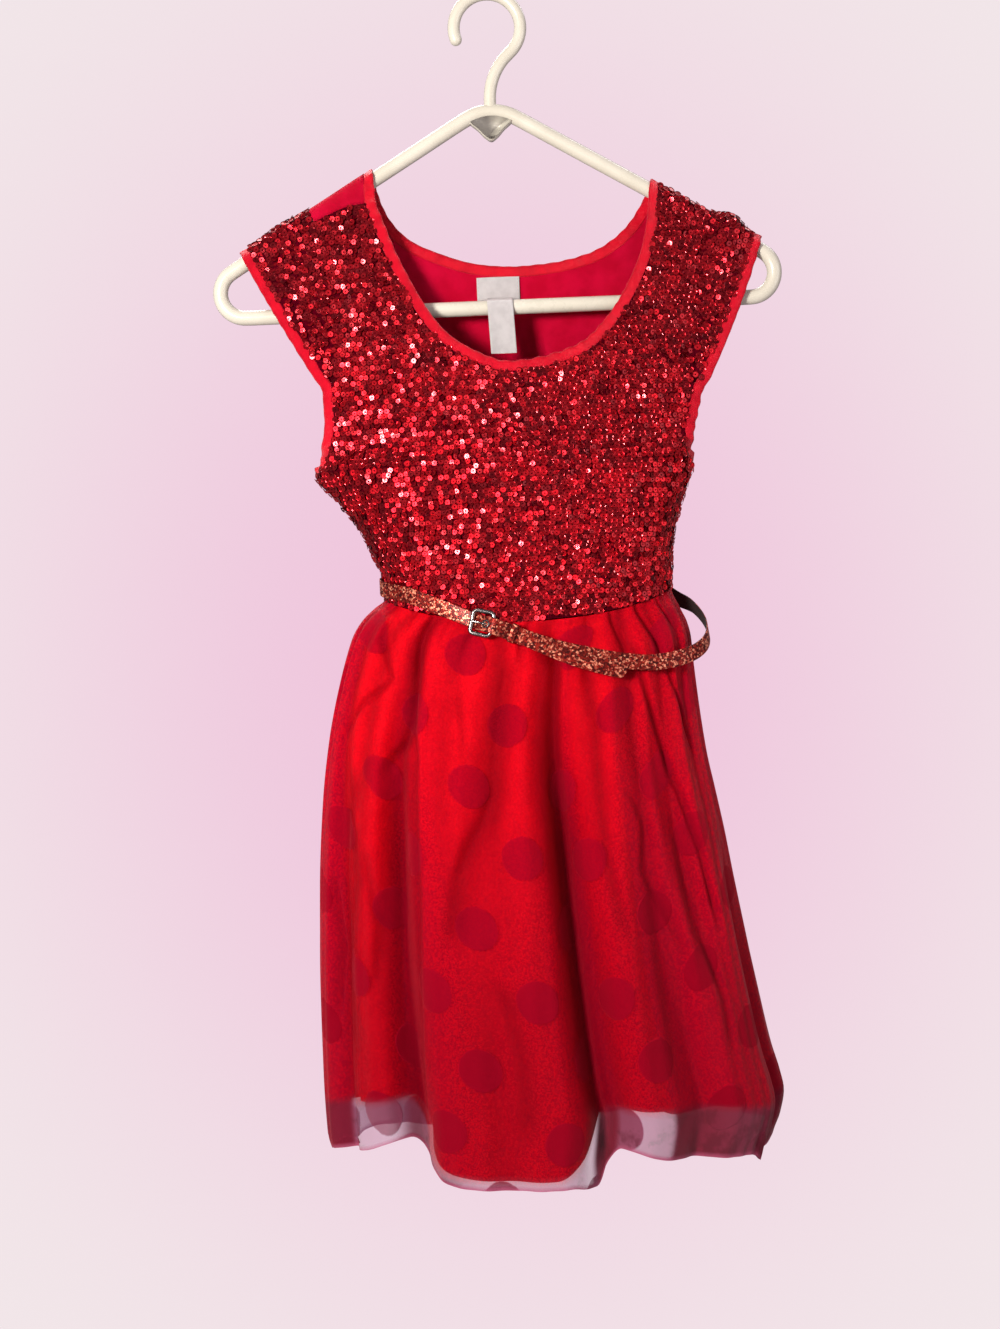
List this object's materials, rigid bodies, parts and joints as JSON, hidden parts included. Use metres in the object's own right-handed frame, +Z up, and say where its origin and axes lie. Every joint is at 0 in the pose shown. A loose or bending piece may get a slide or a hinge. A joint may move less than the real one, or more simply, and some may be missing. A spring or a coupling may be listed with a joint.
{
  "type": "sequin dress on hanger",
  "caption": "Red cap-sleeve party dress with a sequinned bodice, gathered dotted organza skirt and slack belt, hanging on a tubular hanger.",
  "frame": {"origin": "inner top of the hanger's hook, where a rail carries it", "axes": "+Z up, the front of the dress faces -Y, +X to the right of someone looking at the front"},
  "size_m": [0.4212, 0.1847, 0.8765],
  "materials": {
    "hanger_plastic": "smooth gloss moulding",
    "sequin_cloth": "knit covered in small cup sequins",
    "jersey": "fine matt jersey",
    "satin": "soft sheen",
    "organza": "sheer with tone-on-tone dots",
    "lining_satin": "smooth sheen",
    "belt_glitter": "glitter-faced strap, dark back",
    "buckle_metal": "polished",
    "label_satin": "white satin ribbon"
  },
  "bodies": {
    "root": {"hanger": "hanger_plastic", "front_bodice": "sequin_cloth", "back_bodice": "jersey", "left_cap_sleeve": "sequin_cloth", "right_cap_sleeve": "sequin_cloth", "neck_binding": "satin", "left_armhole_binding": "satin", "right_armhole_binding": "satin", "skirt_overlay_front": "organza", "skirt_overlay_back": "organza", "skirt_lining_front": "lining_satin", "skirt_lining_back": "lining_satin", "belt_strap": "belt_glitter", "belt_keeper": "belt_glitter", "belt_buckle": "buckle_metal", "belt_prong": "buckle_metal", "belt_eyelet": "buckle_metal", "brand_label": "label_satin", "care_label": "label_satin"}
  },
  "joints": []
}
